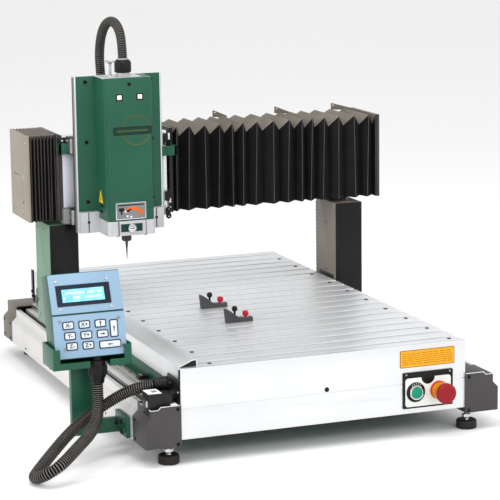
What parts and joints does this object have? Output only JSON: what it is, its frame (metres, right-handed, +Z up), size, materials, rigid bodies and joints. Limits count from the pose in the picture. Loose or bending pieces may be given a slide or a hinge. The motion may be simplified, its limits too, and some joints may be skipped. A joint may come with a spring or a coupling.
{
  "type": "cnc router",
  "caption": "Benchtop gantry CNC router: T-slot table on side rails, moving gantry with bellows-covered beam, Z head with spindle, and a hand pendant.",
  "frame": {"origin": "middle of the machine's footprint on the floor, without the two hoses", "axes": "+X to the operator's right along the beam, +Y from the front panel to the rear, +Z up"},
  "size_m": [1.0119, 1.1001, 0.8076],
  "materials": {
    "bare_aluminium": "satin",
    "clamp_block_aluminium": "machined",
    "green_paint": "semi-gloss",
    "leg_grey_paint": "satin",
    "dark_grey_paint": "satin",
    "black_paint": "satin",
    "guide_steel": "ground",
    "motor_black": "satin black",
    "spindle_steel": "satin",
    "chrome": "polished",
    "tool_steel": "blackened",
    "clamp_black": "satin",
    "black_plastic": "moulded",
    "hose_black": "corrugated, low sheen",
    "foot_rubber": "matte",
    "bellows_fabric": "coated cloth",
    "stop_red": "gloss",
    "clamp_red": "gloss",
    "start_green": "gloss",
    "pendant_blue": "satin",
    "circuit_green": "laminate"
  },
  "bodies": {
    "base": {"front_panel": "bare_aluminium", "rear_panel": "bare_aluminium", "power_inlet": "black_plastic", "table_planks": "bare_aluminium", "side_cover": "bare_aluminium", "base_frame": "green_paint", "control_electronics": "circuit_green", "y_rails": "bare_aluminium", "y_guide_rails": "guide_steel", "motor_covers": "dark_grey_paint", "y_motors": "motor_black", "rail_caps": "leg_grey_paint", "y_bearing_blocks": "guide_steel", "levelling_feet": "foot_rubber", "switch_plate": "black_plastic", "switch_bodies": "black_plastic", "pendant_stand": "green_paint", "holster_tray": "green_paint", "hose_socket": "black_plastic", "pendant_hose": "hose_black"},
    "start_button": {"start_button": "start_green"},
    "estop_button": {"estop_button": "stop_red"},
    "y_screw_left": {"y_screw_left": "guide_steel"},
    "y_screw_right": {"y_screw_right": "guide_steel"},
    "gantry": {"gantry_leg_left": "green_paint", "gantry_leg_right": "leg_grey_paint", "leg_covers": "black_paint", "cross_beam": "bare_aluminium", "x_guide_rails": "guide_steel", "beam_end_plates": "leg_grey_paint", "y_carriages": "guide_steel", "x_motor": "motor_black", "bellows_left": "bellows_fabric", "bellows_right": "bellows_fabric"},
    "x_screw": {"x_screw": "guide_steel"},
    "x_carriage": {"x_carriage_plate": "bare_aluminium", "carriage_bearings": "guide_steel", "bellows_frames": "black_paint", "z_motor": "motor_black", "carriage_fitting": "black_plastic", "head_hose": "hose_black"},
    "z_screw": {"z_screw": "guide_steel"},
    "z_head": {"z_plate": "bare_aluminium", "z_guide_rails": "guide_steel", "head_cover": "green_paint", "head_clamp_block": "clamp_block_aluminium", "spindle_motor": "spindle_steel", "head_gland": "black_plastic"},
    "spindle": {"spindle_shaft": "guide_steel", "collet_nut": "tool_steel", "router_bit": "tool_steel"},
    "thumbscrew": {"thumbscrew": "chrome"},
    "lock_knob": {"lock_knob": "chrome"},
    "pendant": {"pendant_case": "green_paint", "pendant_panels": "pendant_blue", "pendant_gland": "black_plastic"},
    "clamp_front": {"clamp_front": "clamp_black"},
    "clamp_rear": {"clamp_rear": "clamp_black"},
    "clamp_knob_front": {"clamp_knob_front": "clamp_red"},
    "clamp_knob_rear": {"clamp_knob_rear": "clamp_red"}
  },
  "joints": [
    {"name": "gantry_y", "type": "slide", "parent": "base", "child": "gantry", "axis": [0, 1, 0], "range_m": [-0.43, 0.2]},
    {"name": "x_slide", "type": "slide", "parent": "gantry", "child": "x_carriage", "axis": [1, 0, 0], "range_m": [0, 0.43], "deforming": ["bellows_left", "bellows_right"]},
    {"name": "z_slide", "type": "slide", "parent": "x_carriage", "child": "z_head", "axis": [0, 0, 1], "range_m": [-0.095, 0]},
    {"name": "spindle_spin", "type": "hinge", "parent": "z_head", "child": "spindle", "pos_m": [-0.163, 0.063, 0.35], "axis": [0, 0, 1], "continuous": true},
    {"name": "y_screw_left_spin", "type": "hinge", "parent": "base", "child": "y_screw_left", "pos_m": [-0.274, 0.001, 0.07], "axis": [0, 1, 0], "continuous": true},
    {"name": "y_screw_right_spin", "type": "hinge", "parent": "base", "child": "y_screw_right", "pos_m": [0.388, 0.001, 0.07], "axis": [0, 1, 0], "continuous": true},
    {"name": "x_screw_spin", "type": "hinge", "parent": "gantry", "child": "x_screw", "pos_m": [0.057, 0.189, 0.465], "axis": [1, 0, 0], "continuous": true},
    {"name": "z_screw_spin", "type": "hinge", "parent": "x_carriage", "child": "z_screw", "pos_m": [-0.163, 0.136, 0.46], "axis": [0, 0, 1], "continuous": true},
    {"name": "start_press", "type": "slide", "parent": "base", "child": "start_button", "axis": [0, 1, 0], "range_m": [0, 0.003], "stiffness_N_per_m": 600, "springref_m": -0.002},
    {"name": "estop_press", "type": "slide", "parent": "base", "child": "estop_button", "axis": [0, 1, 0], "range_m": [0, 0.004]},
    {"name": "thumbscrew_turn", "type": "hinge", "parent": "z_head", "child": "thumbscrew", "pos_m": [-0.199, 0.037, 0.7], "axis": [0, 0, 1], "range_deg": [-360, 360]},
    {"name": "lock_knob_turn", "type": "hinge", "parent": "z_head", "child": "lock_knob", "pos_m": [-0.166, 0.011, 0.369], "axis": [0, 1, 0], "range_deg": [0, 90]},
    {"name": "pendant_lift", "type": "slide", "parent": "base", "child": "pendant", "axis": [0, 0.1893, 0.9819], "range_m": [0, 0.06]},
    {"name": "clamp_front_slide", "type": "slide", "parent": "base", "child": "clamp_front", "axis": [1, 0, 0], "range_m": [-0.17, 0.26]},
    {"name": "clamp_rear_slide", "type": "slide", "parent": "base", "child": "clamp_rear", "axis": [1, 0, 0], "range_m": [-0.17, 0.26]},
    {"name": "clamp_knob_front_turn", "type": "hinge", "parent": "clamp_front", "child": "clamp_knob_front", "pos_m": [0.019, -0.164, 0.2], "axis": [0, 0, 1], "range_deg": [-360, 360]},
    {"name": "clamp_knob_rear_turn", "type": "hinge", "parent": "clamp_rear", "child": "clamp_knob_rear", "pos_m": [0.019, -0.014, 0.2], "axis": [0, 0, 1], "range_deg": [-360, 360]}
  ],
  "couplings": [
    {"joint": "y_screw_left_spin", "follows": "gantry_y", "rad_per_m": 628.32},
    {"joint": "y_screw_right_spin", "follows": "gantry_y", "rad_per_m": 628.32},
    {"joint": "x_screw_spin", "follows": "x_slide", "rad_per_m": 628.32},
    {"joint": "z_screw_spin", "follows": "z_slide", "rad_per_m": 628.32}
  ]
}
